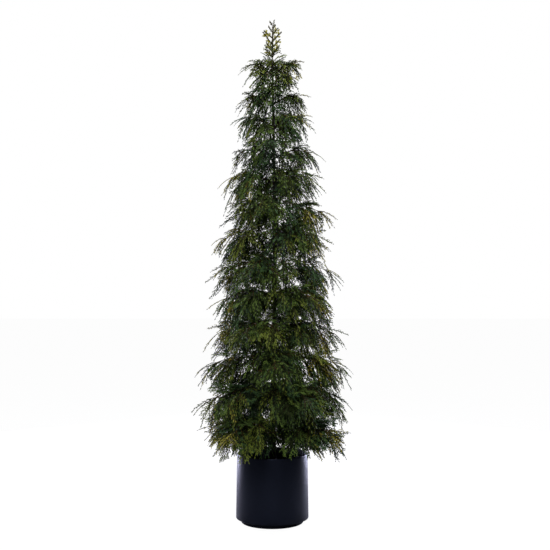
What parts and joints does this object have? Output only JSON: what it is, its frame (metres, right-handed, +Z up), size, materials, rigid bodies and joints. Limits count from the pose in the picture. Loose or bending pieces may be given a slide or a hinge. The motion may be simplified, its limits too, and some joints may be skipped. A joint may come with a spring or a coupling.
{
  "type": "potted artificial cedar tree",
  "caption": "Slim cone-shaped artificial cedar with drooping flat sprays of foliage on a thin straight trunk, in a round black planter with a recessed foot.",
  "frame": {"origin": "centre of the planter's flat underside", "axes": "+Z up along the trunk; the side the picture shows faces -Y"},
  "size_m": [0.4679, 0.4808, 1.524],
  "materials": {
    "pot": "satin black moulded plastic",
    "fill": "dark, rough planting fill",
    "bark": "dark brown moulded bark",
    "foliage": "matte green scale-leaf sprays"
  },
  "bodies": {
    "root": {"bough_1_1": "bark", "bough_1_2": "bark", "bough_1_3": "bark", "bough_1_4": "bark", "bough_2_1": "bark", "bough_2_2": "bark", "bough_2_3": "bark", "bough_2_4": "bark", "bough_3_1": "bark", "bough_3_2": "bark", "bough_3_3": "bark", "bough_3_4": "bark", "foliage_10_1": "foliage", "foliage_10_2": "foliage", "foliage_10_3": "foliage", "foliage_11_1": "foliage", "foliage_11_2": "foliage", "foliage_11_3": "foliage", "foliage_12_1": "foliage", "foliage_12_2": "foliage", "foliage_12_3": "foliage", "foliage_13_1": "foliage", "foliage_13_2": "foliage", "foliage_13_3": "foliage", "foliage_1_1": "foliage", "foliage_1_2": "foliage", "foliage_1_3": "foliage", "foliage_1_4": "foliage", "foliage_2_1": "foliage", "foliage_2_2": "foliage", "foliage_2_3": "foliage", "foliage_2_4": "foliage", "foliage_3_1": "foliage", "foliage_3_2": "foliage", "foliage_3_3": "foliage", "foliage_3_4": "foliage", "foliage_4_1": "foliage", "foliage_4_2": "foliage", "foliage_4_3": "foliage", "foliage_4_4": "foliage", "foliage_5_1": "foliage", "foliage_5_2": "foliage", "foliage_5_3": "foliage", "foliage_5_4": "foliage", "foliage_6_1": "foliage", "foliage_6_2": "foliage", "foliage_6_3": "foliage", "foliage_7_1": "foliage", "foliage_7_2": "foliage", "foliage_7_3": "foliage", "foliage_8_1": "foliage", "foliage_8_2": "foliage", "foliage_8_3": "foliage", "foliage_9_1": "foliage", "foliage_9_2": "foliage", "foliage_9_3": "foliage", "leader_foliage": "foliage", "planting_fill": "fill", "pot": "pot", "trunk": "bark"}
  },
  "joints": []
}
